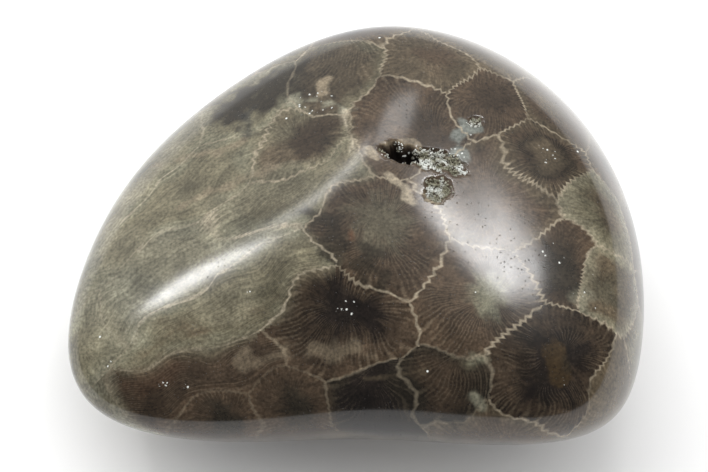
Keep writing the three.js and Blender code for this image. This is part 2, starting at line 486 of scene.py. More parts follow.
class Colony:
    """The whole colony: the placed cups, and cups grown over the sides that they leave bare."""

    squeeze_upright: float = 0.30
    squeeze_lying: float = 0.22
    septa_count: int = 40
    fill_count: int = 95
    fill_scatter: float = 1.1
    fill_clearance: float = 9.5
    fill_reach: float = 6.0
    fill_change: float = 1.2
    pale_end: float = -20.0
    bend_reach: float = 0.55
    bend_wavelength: float = 9.0
    block: int = 20000

    def __init__(self, shape: StoneForm, cups: tuple[Corallite, ...], seed: int = 11) -> None:
        """Lays the cups through the stone.

        Args:
            shape: The polished form that cuts them.
            cups: The listed cups.
            seed: The seed for the grown ones.
        """
        self.shape = shape
        placed = shape.lift([(cup.x, cup.y) for cup in cups])
        fill_points, fill_cups = self._fill(placed, seed)
        self.cups = list(cups) + fill_cups
        self.middles = np.concatenate([placed, fill_points])
        normals = shape.normals(self.middles)
        self.hearts = self.middles.copy()
        self.axes = normals.copy()
        self.squeeze = np.full(len(self.cups), self.squeeze_upright)
        for number, cup in enumerate(self.cups):
            if cup.heart is not None:
                self.hearts[number] = shape.lift([cup.heart])[0]
            if cup.bearing is not None:
                along = aim(cup.bearing, 0.0)
                self.axes[number] = unit(along - (along @ normals[number]) * normals[number])
                self.squeeze[number] = self.squeeze_lying
            self.hearts[number] -= normals[number] * cup.sunk
        helper = np.where(np.abs(self.axes[:, 2:]) > 0.9, [[1.0, 0.0, 0.0]], [[0.0, 0.0, 1.0]])
        self.across = unit(np.cross(helper, self.axes))
        self.upward = np.cross(self.axes, self.across)
        self.reaches = self.each("reach")
        self.bend = [Wander(seed + 1 + axis, self.bend_wavelength) for axis in range(3)]

    def each(self, field: str) -> np.ndarray:
        """Returns one field of every cup, with a tone as linear light."""
        values = [getattr(cup, field) for cup in self.cups]
        return np.array([value.light if isinstance(value, Tone) else value for value in values])

    def _fill(self, placed: np.ndarray, seed: int) -> tuple[np.ndarray, list[Corallite]]:
        """Grows cups where no placed one is near, spread evenly by the golden angle.

        Args:
            placed: The middles of the placed cups.
            seed: The seed of their sizes and colours.

        Returns:
            Their middles and the cups.
        """
        draw = np.random.default_rng(seed)
        step = np.arange(self.fill_count) + 0.5
        height = 1.0 - 2.0 * step / self.fill_count
        turn = math.pi * (1.0 + math.sqrt(5.0)) * step
        ring = np.sqrt(1.0 - height ** 2)
        ball = np.column_stack([ring * np.cos(turn), ring * np.sin(turn), height])
        spread = self.shape.middle + ball * self.shape.half + draw.normal(0.0, self.fill_scatter, ball.shape)
        points = self.shape.surface(spread - self.shape.core)
        gaps = np.linalg.norm(points[:, None] - placed[None], axis=-1).min(1)
        points = points[gaps > self.fill_clearance]
        bodies = (Tone.BROWN, Tone.TAUPE, Tone.OLIVE, Tone.UMBER)
        cores = (Tone.SOOT, Tone.UMBER, Tone.INK, Tone.TAUPE)
        cups = []
        for x, y, _ in points:
            reach = self.fill_reach + draw.uniform(-self.fill_change, self.fill_change)
            core, body = cores[draw.integers(4)], bodies[draw.integers(4)]
            radius, septa = draw.uniform(2.0, 3.4), draw.uniform(0.5, 0.9)
            if x < self.pale_end:
                cup = Corallite(x, y, reach, core=Tone.OLIVE, body=Tone.SAGE, edge=Tone.ASH, septa=0.4, wall=0.3,
                                blend=2.0)
            else:
                cup = Corallite(x, y, reach, core=core, body=body, core_radius=radius, septa=septa, wall=0.85)
            cups.append(cup)
        return points, cups

    def bent(self, points: np.ndarray) -> np.ndarray:
        """Returns the points moved by the slow bend of the cups."""
        return points + self.bend_reach * np.column_stack([bend(points) for bend in self.bend])

    def nearest_pairs(self, points: np.ndarray) -> np.ndarray:
        """Finds the two nearest cups of each point.

        Args:
            points: One bent point a row.

        Returns:
            Two cup numbers a row, the lower first.
        """
        pairs = np.empty((len(points), 2), int)
        everyone = np.arange(len(self.cups))
        for start in range(0, len(points), self.block):
            some = points[start:start + self.block]
            crowd = np.repeat(some, len(everyone), axis=0)
            away = self.distance(crowd, np.tile(everyone, len(some)))[0].reshape(len(some), -1)
            pairs[start:start + self.block] = np.sort(np.argpartition(away, 1, axis=1)[:, :2], axis=1)
        return pairs

    def distance(self, points: np.ndarray, numbers: np.ndarray) -> tuple[np.ndarray, np.ndarray]:
        """Measures from points to cups.

        Args:
            points: One bent point a row.
            numbers: The number of the cup for each point.

        Returns:
            The distances, less each cup's reach, and their gradients.
        """
        away = points - self.middles[numbers]
        axis = self.axes[numbers]
        along = (away * axis).sum(-1, keepdims=True)
        squeeze = self.squeeze[numbers][:, None] ** 2
        scaled = away - along * axis + squeeze * along * axis
        length = np.sqrt(np.maximum((away * scaled).sum(-1), 1e-9))
        return length - self.reaches[numbers], scaled / length[:, None]

    def section(self, points: np.ndarray, numbers: np.ndarray) -> tuple[np.ndarray, np.ndarray]:
        """Measures about the hearts of cups.

        Args:
            points: One bent point a row.
            numbers: The number of the cup for each point.

        Returns:
            The turns about the hearts, in septa, and the distances from them.
        """
        away = points - self.hearts[numbers]
        over = (away * self.across[numbers]).sum(-1)
        up = (away * self.upward[numbers]).sum(-1)
        return np.arctan2(up, over) / (2.0 * math.pi) * self.septa_count, np.hypot(over, up)


class Markings:
    """Works out the markings of the colony on a mesh."""

    least_steepness: float = 0.5
    core_ragged: float = 0.3
    core_spikes: tuple[tuple[int, float], ...] = ((3, 0.12), (7, 0.10), (13, 0.12), (22, 0.14))
    spike_shift: float = 1.7
    edge_ragged: float = 0.4
    edge_reach: float = 2.2
    ring_width: float = 0.9
    warmth: float = 0.65
    mottle_share: float = 0.12
    cloud_share: float = 0.14
    darkest: float = 0.004

    def __init__(self, colony: Colony, seed: int = 23) -> None:
        """Draws the slow changes of colour in the colony.

        Args:
            colony: The colony.
            seed: The seed of the first change. Each next one takes the next seed.
        """
        self.colony = colony
        self.mottle = Wander(seed, 5.0)
        self.cloud = Wander(seed + 1, 17.0)
        self.ragged = Wander(seed + 2, 3.0, 24)
        self.drift = Wander(seed + 3, 12.0, 20)

    def corners(self, points: np.ndarray, quads: np.ndarray) -> tuple[dict[str, np.ndarray], list[np.ndarray]]:
        """Works out what each corner of each quad carries for the shader.

        Args:
            points: The mesh's points on the polished form.
            quads: The quads as rows of point numbers.

        Returns:
            The layers by name, and the place in the section of each of the two cups, one row a corner.
        """
        bent = self.colony.bent(points)
        pairs = np.repeat(self.colony.nearest_pairs(bent[quads].mean(1)), 4, axis=0)
        place = quads.ravel()
        spots = bent[place]
        away, slope = zip(*(self.colony.distance(spots, pairs[:, side]) for side in (0, 1)))
        steepness = np.linalg.norm(slope[1] - slope[0], axis=1)
        gap = (away[1] - away[0]) / np.maximum(steepness, self.least_steepness)
        noises = [wander(points)[place] for wander in (self.mottle, self.cloud, self.ragged, self.drift)]
        tones, sections = [], []
        for side in (0, 1):
            turn, reach = self.colony.section(spots, pairs[:, side])
            sections.append(np.column_stack([self._unbroken(turn), reach]))
            tones.append(self._tone(pairs[:, side], turn, reach, np.abs(gap), noises))
        tone_a, tone_b = self._blended(pairs, gap, *tones)
        wall = np.column_stack([self.colony.each("wall_tone")[pairs].mean(1),
                                self.colony.each("wall")[pairs].min(1)])
        return {"wall_gap": gap, "tone_a": tone_a, "tone_b": tone_b, "wall_tone": wall}, sections

    def _blended(self, pairs: np.ndarray, gap: np.ndarray, first: np.ndarray,
                 second: np.ndarray) -> tuple[np.ndarray, np.ndarray]:
        """Runs the colours of two cups into each other where one of them blends.

        Args:
            pairs: The numbers of the two cups at each corner.
            gap: The signed distance to the wall between them.
            first: The colour of the first cup.
            second: The colour of the second cup.

        Returns:
            The two colours, alike where they blend.
        """
        width = self.colony.each("blend")[pairs].max(1)
        run = mixed(first, second, 1.0 - smooth(gap / np.maximum(width, 1e-3), -1.0, 1.0))
        soft = (width > 0.0)[:, None]
        return np.where(soft, run, first), np.where(soft, run, second)

    def _unbroken(self, turn: np.ndarray) -> np.ndarray:
        """Takes out the jumps of a whole round inside each quad.

        Args:
            turn: The turn at each corner, in septa, four corners to a quad.

        Returns:
            The turns, unbroken.
        """
        turn = turn.reshape(-1, 4)
        whole = self.colony.septa_count
        return (turn - whole * np.round((turn - turn[:, :1]) / whole)).ravel()

    def _tone(self, numbers: np.ndarray, turn: np.ndarray, reach: np.ndarray, gap: np.ndarray,
              noises: list[np.ndarray]) -> np.ndarray:
        """Colours a cup at each corner.

        Args:
            numbers: The number of the cup.
            turn: The turn about its heart, in septa.
            reach: The distance from its heart.
            gap: The distance to its wall.
            noises: The mottle, the cloud, the ragged edge and the drift of hue at the corner.

        Returns:
            Linear colour, with the strength of the septa as alpha.
        """
        fields = ("core", "body", "edge", "core_radius", "ring", "septa", "blend")
        core, body, edge, size, ring, septa, blend = (self.colony.each(field)[numbers] for field in fields)
        mottle, cloud, ragged, drift = noises
        ragged_reach = reach + self.core_ragged * ragged
        spiked = ragged_reach / size
        angle = turn * (2.0 * math.pi / self.colony.septa_count)
        for waves, height in self.core_spikes:
            wave = np.sin(waves * angle + self.spike_shift * waves * numbers)
            spiked = spiked + height * wave * smooth(spiked, 0.2, 0.7)
        core_share = 1.0 - smooth(spiked, 0.45, 1.5)
        edge_share = 1.0 - smooth(gap + self.edge_ragged * mottle, 0.0, self.edge_reach)
        colour = mixed(mixed(body, core, core_share), edge, edge_share * (1.0 - core_share))
        warm = (blend > 0.0) & (colour[:, 1] > Tone.TAUPE.light[1])
        colour = mixed(colour, Tone.SAND.light, warm * smooth(drift, -0.2, 1.2) * self.warmth)
        dark = ring * np.exp(-(((ragged_reach - size) / self.ring_width) ** 2))
        colour *= ((1.0 - dark) * (1.0 + self.mottle_share * mottle + self.cloud_share * cloud))[:, None]
        return np.column_stack([np.clip(colour, self.darkest, 1.0), septa * (1.0 - 0.6 * core_share)])

    def sparkle(self, points: np.ndarray, places: tuple[Sparkle, ...]) -> np.ndarray:
        """Measures how thickly small crystals show.

        Args:
            points: The mesh's points on the polished form.
            places: Where the crystals show.

        Returns:
            The share of crystals at each point, 0 to 1.
        """
        share = np.zeros(len(points))
        for place, middle in zip(places, self.colony.shape.lift([(place.x, place.y) for place in places])):
            away = np.linalg.norm(points - middle, axis=1) / place.radius
            share = np.maximum(share, place.share * (1.0 - smooth(away, 0.5, 1.2)))
        return share

    def stains_and_shadow(self, points: np.ndarray, stains_and_shadow: tuple[StainAndShadow, ...]) -> np.ndarray:
        """Lays the stained patches and the painted shadow over each other.

        Args:
            points: The mesh's points on the polished form.
            stains_and_shadow: The stained patches and the painted shadow, the lowest first.

        Returns:
            Linear colour, with the cover as alpha, one row a point.
        """
        result = np.zeros((len(points), 4))
        ragged = self.ragged(points)
        for stain_and_shadow in stains_and_shadow:
            path = self.colony.shape.lift(stain_and_shadow.path)
            away = path_distance(points, path) + stain_and_shadow.ragged * 0.5 * ragged
            half = stain_and_shadow.width / 2.0
            cover = stain_and_shadow.cover * (1.0 - smooth(away, half - stain_and_shadow.softness, half + stain_and_shadow.softness))
            under = result[:, 3] * (1.0 - cover)
            total = cover + under
            both = stain_and_shadow.tone.light * cover[:, None] + result[:, :3] * under[:, None]
            result = np.column_stack([both / np.maximum(total, 1e-6)[:, None], total])
        return result


def path_distance(points: np.ndarray, path: np.ndarray) -> np.ndarray:
    """Measures from points to a path of straight pieces.

    Args:
        points: One point a row.
        path: The corners of the path, one a row.

    Returns:
        The distance of each point.
    """
    nearest = np.full(len(points), np.inf)
    for start, end in zip(path[:-1], path[1:]):
        along = end - start
        share = np.clip((points - start) @ along / (along @ along), 0.0, 1.0)
        nearest = np.minimum(nearest, np.linalg.norm(points - start - share[:, None] * along, axis=1))
    return nearest


# The cavity


@dataclass(frozen=True)
class Cavity:
    """The hollow in the crown: rounded pockets with rough floors."""

    pockets: tuple[Pocket, ...] = (
        Pocket(5.6, 4.7, 5.6, 2.6, 3.2, -22),
        Pocket(9.7, 3.7, 8.4, 3.2, 1.7, -12),
        Pocket(10.3, -0.8, 4.2, 3.0, 1.4, 60),
        Pocket(15.2, 9.9, 2.6, 1.4, 1.1, 35),
    )
    throat: int = 0
    filled: float = 0.6
    rough_depth: float = 0.20
    rough_outline: float = 0.25
    seed: int = 41

    def depth(self, points: np.ndarray, upper: np.ndarray) -> tuple[np.ndarray, np.ndarray]:
        """Measures how far each surface point sinks.

        Args:
            points: Points on the polished form.
            upper: Which of them are on the upper side.

        Returns:
            The depths, and how far each point lies in the open throat, from 0 to 1. The druse fills most of
            the other pockets.
        """
        edge, floor = Wander(self.seed, 1.3, 32), Wander(self.seed + 1, 0.7, 32)
        sunk, throat = np.zeros(len(points)), np.zeros(len(points))
        for number, pocket in enumerate(self.pockets):
            reach = pocket.reach(points) + self.rough_outline * edge(points)
            bowl = np.sqrt(np.clip(1.0 - reach, 0.0, 1.0)) * upper
            left = 1.0 - self.filled
            if number == self.throat:
                throat, left = bowl, 1.0
            sunk = np.maximum(sunk, left * pocket.depth * bowl)
        rough = self.rough_depth * floor(points) * smooth(sunk, 0.05, 0.6)
        return np.maximum(sunk + rough, 0.0), throat


# Shader and geometry node helpers


class NodeWriter:
    """Writes a node tree, one node at a time."""

    def __init__(self, tree: bpy.types.NodeTree, place: bpy.types.NodeSocket | None = None) -> None:
        """Takes the tree to write in, and the coordinates that its noise reads."""
        self.tree = tree
        self.place = place

    def node(self, kind: str, inputs: dict | None = None, **settings: object) -> bpy.types.Node:
        """Adds a node.

        Args:
            kind: The node's type name.
            inputs: Values or sockets for its inputs, by name or number.
            settings: Its own settings.

        Returns:
            The node.
        """
        node = self.tree.nodes.new(kind)
        for name, value in settings.items():
            setattr(node, name, value)
        for key, value in (inputs or {}).items():
            self.feed(node.inputs[key], value)
        return node

    def feed(self, socket: bpy.types.NodeSocket, value: object) -> None:
        """Links a socket to another, or sets its value.

        Args:
            socket: The input socket.
            value: The socket that feeds it, or its value.
        """
        if isinstance(value, bpy.types.NodeSocket):
            self.tree.links.new(value, socket)
        else:
            socket.default_value = value

    def math(self, operation: str, *values: object) -> bpy.types.NodeSocket:
        """Returns the result of a math node on up to three values."""
        return self.node("ShaderNodeMath", dict(enumerate(values)), operation=operation).outputs[0]

    def times(self, first: object, *others: object) -> bpy.types.NodeSocket:
        """Multiplies values.

        Args:
            first: A number or socket.
            others: More of them.

        Returns:
            Their product.
        """
        for other in others:
            first = self.math("MULTIPLY", first, other)
        return first

    def scaled(self, value: object, factor: object, start: object) -> bpy.types.NodeSocket:
        """Returns the start plus the value times the factor."""
        return self.math("MULTIPLY_ADD", value, factor, start)

    def triangle(self, value: object) -> bpy.types.NodeSocket:
        """Returns a wave of straight slopes that goes from 0 to 1 and back for each 1 of the value."""
        return self.times(self.math("PINGPONG", value, 0.5), 2.0)

    def step(self, value: object, low: float, high: float) -> bpy.types.NodeSocket:
        """Returns a smooth rise from 0 at low to 1 at high."""
        inputs = {"Value": value, "From Min": low, "From Max": high}
        return self.node("ShaderNodeMapRange", inputs, interpolation_type="SMOOTHSTEP").outputs["Result"]

    def mix(self, share: object, first: object, second: object, blend: str = "MIX") -> bpy.types.NodeSocket:
        """Returns two colours mixed by a share of the second."""
        inputs = {0: share, 6: first, 7: second}
        return self.node("ShaderNodeMix", inputs, data_type="RGBA", blend_type=blend).outputs[2]

    def blend(self, share: object, first: object, second: object) -> bpy.types.NodeSocket:
        """Returns two numbers mixed by a share of the second."""
        return self.node("ShaderNodeMix", {0: share, 2: first, 3: second}, data_type="FLOAT").outputs[0]

    def noise(self, scale: float, detail: float = 2.0, place: object = None) -> bpy.types.NodeSocket:
        """Returns noise from 0 to 1."""
        inputs = {"Vector": place or self.place, "Scale": scale, "Detail": detail}
        return self.node("ShaderNodeTexNoise", inputs).outputs[0]

    def layer(self, name: str) -> bpy.types.Node:
        """Returns a node that reads a layer of the mesh."""
        return self.node("ShaderNodeAttribute", attribute_name=name)


def principled(name: str) -> tuple[bpy.types.Material, NodeWriter, bpy.types.Node]:
    """Starts a material.

    Args:
        name: The name of the material.

    Returns:
        The material, a writer on its tree with the object coordinates as its place, and its shader node.
    """
    material = bpy.data.materials.new(name)
    material.use_nodes = True
    tree = material.node_tree
    place = tree.nodes.new("ShaderNodeTexCoord").outputs["Object"]
    return material, NodeWriter(tree, place), tree.nodes["Principled BSDF"]


# Finishes


@dataclass(frozen=True)
class Dots:
    """Dots in some cells of a Voronoi pattern, chosen by one channel of the cells' random colours.

    A dot fades between its inner and outer distance, in cells. The ragged share breaks its outline up.
    """

    scale: float
    channel: int
    inner: float
    outer: float
    ragged: float = 0.0
    ragged_scale: float = 7000.0

    def build(self, tree: NodeWriter, share: object) -> bpy.types.NodeSocket:
        """Draws the dots.

        Args:
            tree: The writer.
            share: The share of the cells that have a dot.

        Returns:
            1 inside the dots and 0 between them.
        """
        cells = tree.node("ShaderNodeTexVoronoi", {"Vector": tree.place, "Scale": self.scale})
        away = cells.outputs["Distance"]
        if self.ragged:
            away = tree.scaled(tree.noise(self.ragged_scale), self.ragged, away)
        drawn = tree.node("ShaderNodeSeparateColor", {0: cells.outputs["Color"]}).outputs[self.channel]
        return tree.times(tree.step(away, self.outer, self.inner), tree.math("LESS_THAN", drawn, share))


@dataclass(frozen=True)
class CoralPolish:
    """The polished coral limestone. Lengths are in millimetres, and scales of noise are per metre."""

    zigzag: float = 0.30
    zigzag_change_scale: float = 150.0
    side_soft: float = 0.03
    wall_half: float = 0.09
    wall_soft: float = 0.20
    wall_cover: float = 0.78
    wall_faintest: float = 0.4
    wall_width_scale: float = 260.0
    wall_fade_scale: float = 190.0
    fibre: float = 0.8
    septa_wiggle: float = 0.55
    septa_wiggle_scale: float = 900.0
    septa_patch_scale: float = 330.0
    septa_contrast: float = 0.36
    septa_contrast_at_wall: float = 0.66
    tooth_reach: float = 2.4
    bar_spacing: float = 0.42
    line_dark: tuple[float, ...] = (0.44, 0.42, 0.39, 1.0)
    line_pale: float = 0.38
    grain_scale: float = 2600.0
    grain_strength: float = 1.7
    mottle_scale: float = 520.0
    depth: float = 0.92
    pits: Dots = Dots(2200.0, 0, 0.09, 0.24)
    pit_share: float = 0.30
    pit_painted_shade: float = 0.5
    specks: Dots = Dots(900.0, 1, 0.10, 0.16)
    speck_share: float = 0.005
    sparkle: Dots = Dots(2300.0, 2, 0.55, 0.82, 0.9)
    roughness: float = 0.14
    rough_change: float = 0.08
    rough_change_scale: float = 700.0
    rough_pit: float = 0.3
    rough_hollow: float = 0.45
    bump_strength: float = 0.35
    bump_metres: float = 0.00004
    ior: float = 1.52

    def build(self) -> bpy.types.Material:
        """Makes the material.

        Returns:
            The material, which reads the layers of the polished stone's mesh.
        """
        material, tree, shader = principled("coral_polish")
        wall = tree.layer("wall_tone")
        tones = [tree.layer(f"tone_{side}").outputs for side in "ab"]
        maps = [tree.node("ShaderNodeUVMap", uv_map=f"section_{side}").outputs[0] for side in "ab"]
        cuts = [tree.node("ShaderNodeSeparateXYZ", {0: place}).outputs for place in maps]
        wiggle = tree.scaled(tree.noise(self.septa_wiggle_scale), self.septa_wiggle, -self.septa_wiggle / 2.0)
        teeth = tree.triangle(tree.math("ADD", cuts[0][0], wiggle))
        swing = tree.scaled(teeth, 2.0 * self.zigzag, -self.zigzag)
        uneven = tree.scaled(tree.noise(self.zigzag_change_scale, 1.0), 1.6, -0.1)
        swing = tree.times(swing, wall.outputs["Alpha"], uneven)
        gap = tree.math("ADD", tree.layer("wall_gap").outputs["Fac"], swing)
        side = tree.step(gap, self.side_soft, -self.side_soft)
        phase, reach = (tree.blend(side, cuts[0][part], cuts[1][part]) for part in (0, 1))
        colour = tree.mix(side, tones[0]["Color"], tones[1]["Color"])
        strength = tree.blend(side, tones[0]["Alpha"], tones[1]["Alpha"])
        distance = tree.math("ABSOLUTE", gap)
        colour = self._fibres(tree, colour, strength, phase, reach)
        colour = self._septa(tree, colour, strength, phase, reach, distance, wiggle)
        stain_and_shadow = tree.layer("stain_and_shadow").outputs
        # This layer holds the stone's stains and one painted shadow, beside the amber plug.
        colour = tree.mix(stain_and_shadow["Alpha"], colour, stain_and_shadow["Color"])
        colour = self._walls(tree, colour, wall, distance)
        colour, pits = self._grain(tree, colour)
        hollow, throat = (tree.layer(name).outputs["Fac"] for name in ("hollow", "throat"))
        colour = tree.mix(hollow, colour, Tone.BROWN.opaque)
        # Painted shade: the open throat of the cavity is coloured near-black for the shade deep inside it.
        tree.feed(shader.inputs["Base Color"], tree.mix(throat, colour, Tone.INK.opaque))
        rough = tree.noise(self.rough_change_scale, 3.0)
        rough = tree.scaled(rough, self.rough_change, self.roughness - self.rough_change / 2.0)
        rough = tree.scaled(pits, self.rough_pit, rough)
        tree.feed(shader.inputs["Roughness"], tree.scaled(hollow, self.rough_hollow, rough))
        shader.inputs["IOR"].default_value = self.ior
        sunk = {"Strength": self.bump_strength, "Distance": self.bump_metres, "Height": pits}
        tree.feed(shader.inputs["Normal"], tree.node("ShaderNodeBump", sunk, invert=True).outputs[0])
        return material

    def _fibres(self, tree: NodeWriter, colour: object, strength: object, phase: object,
                reach: object) -> bpy.types.NodeSocket:
        """Shades a cup with fibres that run out from its heart.

        Args:
            tree: The writer.
            colour: The cup's colour.
            strength: How clearly its septa show.
            phase: The turn about the heart, in septa.
            reach: The distance from the heart.

        Returns:
            The colour with its fibres.
        """
        along = tree.node("ShaderNodeCombineXYZ", {0: tree.times(phase, 1.3), 1: tree.times(reach, 0.7)})
        change = tree.math("SUBTRACT", tree.noise(1.0, 4.0, along.outputs[0]), 0.5)
        height = tree.times(tree.scaled(strength, 0.5, 0.5), 2.0 * self.fibre)
        return tree.mix(1.0, colour, tree.scaled(change, height, 1.0), "MULTIPLY")

    def _septa(self, tree: NodeWriter, colour: object, strength: object, phase: object, reach: object,
               distance: object, wiggle: object) -> bpy.types.NodeSocket:
        """Draws the radial blades of a cup and the small bars across them.

        Args:
            tree: The writer.
            colour: The cup's colour so far.
            strength: How clearly its septa show.
            phase: The turn about the heart, in septa.
            reach: The distance from the heart.
            distance: The distance to the wall.
            wiggle: The slow wiggle of the septa.

        Returns:
            The colour with its septa.
        """
        turn = tree.math("ADD", phase, wiggle)
        major = tree.step(tree.triangle(turn), 0.55, 0.10)
        minor = tree.step(tree.triangle(tree.times(turn, 2.0)), 0.60, 0.10)
        bars = tree.triangle(tree.scaled(wiggle, 3.0, tree.math("DIVIDE", reach, self.bar_spacing)))
        near = tree.step(distance, self.tooth_reach, 0.2)
        line = tree.times(tree.blend(near, minor, major), tree.scaled(bars, 0.45, 0.65))
        rise = self.septa_contrast_at_wall - self.septa_contrast
        patchy = tree.step(tree.noise(self.septa_patch_scale), 0.30, 0.62)
        contrast = tree.times(strength, tree.scaled(near, rise, self.septa_contrast), patchy)
        dark = tree.mix(1.0, colour, self.line_dark, "MULTIPLY")
        pale = tree.mix(self.line_pale, colour, Tone.BEIGE.opaque)
        return tree.mix(contrast, colour, tree.mix(line, dark, pale))

    def _walls(self, tree: NodeWriter, colour: object, wall: bpy.types.Node,
               distance: object) -> bpy.types.NodeSocket:
        """Draws the pale wall between two cups, thicker and thinner along its way.

        Args:
            tree: The writer.
            colour: The colour so far.
            wall: The node that reads the wall's tone and strength.
            distance: The distance to the wall.

        Returns:
            The colour with the walls.
        """
        half = tree.scaled(tree.noise(self.wall_width_scale, 3.0), 2.0 * self.wall_half, 0.02)
        outside = tree.math("DIVIDE", tree.math("SUBTRACT", distance, half), self.wall_soft)
        clear = tree.step(tree.noise(self.wall_fade_scale), 0.32, 0.60)
        clear = tree.scaled(clear, 1.0 - self.wall_faintest, self.wall_faintest)
        line = tree.times(tree.step(outside, 1.0, -0.4), clear, wall.outputs["Alpha"], self.wall_cover)
        return tree.mix(line, colour, wall.outputs["Color"])

    def _grain(self, tree: NodeWriter, colour: object) -> tuple[bpy.types.NodeSocket, bpy.types.NodeSocket]:
        """Adds the stone's cloudiness, grain, painted shade in tiny pits, and specks of calcite.

        Args:
            tree: The writer.
            colour: The colour so far.

        Returns:
            The colour with grain, and how far each place is in a pit.
        """
        cloud = tree.scaled(tree.noise(self.mottle_scale, 4.0), 1.0, 0.5)
        grain = tree.scaled(tree.noise(self.grain_scale), self.grain_strength, 1.0 - self.grain_strength / 2.0)
        colour = tree.mix(1.0, colour, tree.times(cloud, self.depth, grain), "MULTIPLY")
        pits = self.pits.build(tree, self.pit_share)
        # Painted shade: the colour is darkened in the tiny pits, standing in for their shade and the reflection
        # they break.
        colour = tree.mix(tree.times(pits, self.pit_painted_shade), colour, Tone.INK.opaque)
        crystals = self.sparkle.build(tree, tree.layer("sparkle").outputs["Fac"])
        specks = tree.math("MAXIMUM", self.specks.build(tree, self.speck_share), crystals)
        return tree.mix(specks, colour, Tone.SUGAR.opaque), pits


@dataclass(frozen=True)
class CrystalFinish:
    """The clear to white calcite of the druse."""

    name: str
    pale: Tone = Tone.SUGAR
    deep: Tone = Tone.ASH
    cloud_scale: float = 620.0
    roughness: float = 0.25
    ior: float = 1.55

    def build(self) -> bpy.types.Material:
        """Makes the material.

        Returns:
            The material, clouded between its pale and its deep tone.
        """
        material, tree, shader = principled(self.name)
        share = tree.step(tree.noise(self.cloud_scale, 3.0), 0.40, 0.62)
        tree.feed(shader.inputs["Base Color"], tree.mix(share, self.deep.opaque, self.pale.opaque))
        shader.inputs["Roughness"].default_value = self.roughness
        shader.inputs["IOR"].default_value = self.ior
        return material


# The pieces


def add(name: str, data: bpy.types.ID) -> bpy.types.Object:
    """Adds an object to the scene.

    Args:
        name: The name of the object.
        data: Its mesh, lamp or camera.

    Returns:
        The object.
    """
    thing = bpy.data.objects.new(name, data)
    bpy.context.scene.collection.objects.link(thing)
    return thing


def write_layer(mesh: bpy.types.Mesh, name: str, domain: str, values: np.ndarray) -> None:
    """Writes a layer of numbers or colours to a mesh.

    Args:
        mesh: The mesh.
        name: The name of the layer.
        domain: POINT or CORNER.
        values: One number a row, or a colour with alpha.
    """
    kind, field = ("FLOAT_COLOR", "color") if values.ndim == 2 else ("FLOAT", "value")
    layer = mesh.attributes.new(name, kind, domain)
    layer.data.foreach_set(field, values.astype(np.float32).ravel())


class PolishedStone:
    """The fine surface of the stone, with its markings and its cavity."""

    def __init__(self, shape: StoneForm, cavity: Cavity) -> None:
        """Takes the form and the cavity."""
        self.shape = shape
        self.cavity = cavity

    def build(self, markings: Markings, material: bpy.types.Material) -> bpy.types.Object:
        """Makes the piece.

        Args:
            markings: The markings of the colony.
            material: The polished finish.

        Returns:
            The piece, in metres, in place.
        """
        shape = self.shape
        mouth = np.mean([(pocket.x, pocket.y) for pocket in self.cavity.pockets], axis=0)
        crowd = np.append((mouth - shape.middle[:2]) / shape.half[:2], 1.0)
        ball, quads = CubeSphere(tuple(crowd)).build()
        points = shape.surface(shape.middle + ball * shape.half - shape.core)
        depth, throat = self.cavity.depth(points, points[:, 2] > shape.core[2])
        mesh = bpy.data.meshes.new("polished_stone")
        mesh.from_pydata((points - np.outer(depth, (0.0, 0.0, 1.0))) * METRES, [], quads.tolist())
        mesh.shade_smooth()
        layers, sections = markings.corners(points, quads)
        for name, values in layers.items():
            write_layer(mesh, name, "CORNER", values)
        for name, places in zip(("section_a", "section_b"), sections):
            mesh.uv_layers.new(name=name).data.foreach_set("uv", places.astype(np.float32).ravel())
        write_layer(mesh, "hollow", "POINT", smooth(depth, 0.03, 0.25))
        write_layer(mesh, "druse", "POINT", smooth(depth, 0.08, 0.3) * (1.0 - smooth(throat, 0.1, 0.3)))
        # The throat layer marks where the shader paints shade into the cavity's open throat.
        write_layer(mesh, "throat", "POINT", smooth(throat, 0.1, 0.5))
        write_layer(mesh, "sparkle", "POINT", markings.sparkle(points, SPARKLES))
        # Stains of the stone, with one painted shadow beside the amber plug.
        write_layer(mesh, "stain_and_shadow", "POINT", markings.stains_and_shadow(points, STAINS_AND_SHADOW))
        mesh.materials.append(material)
        return add("polished_stone", mesh)


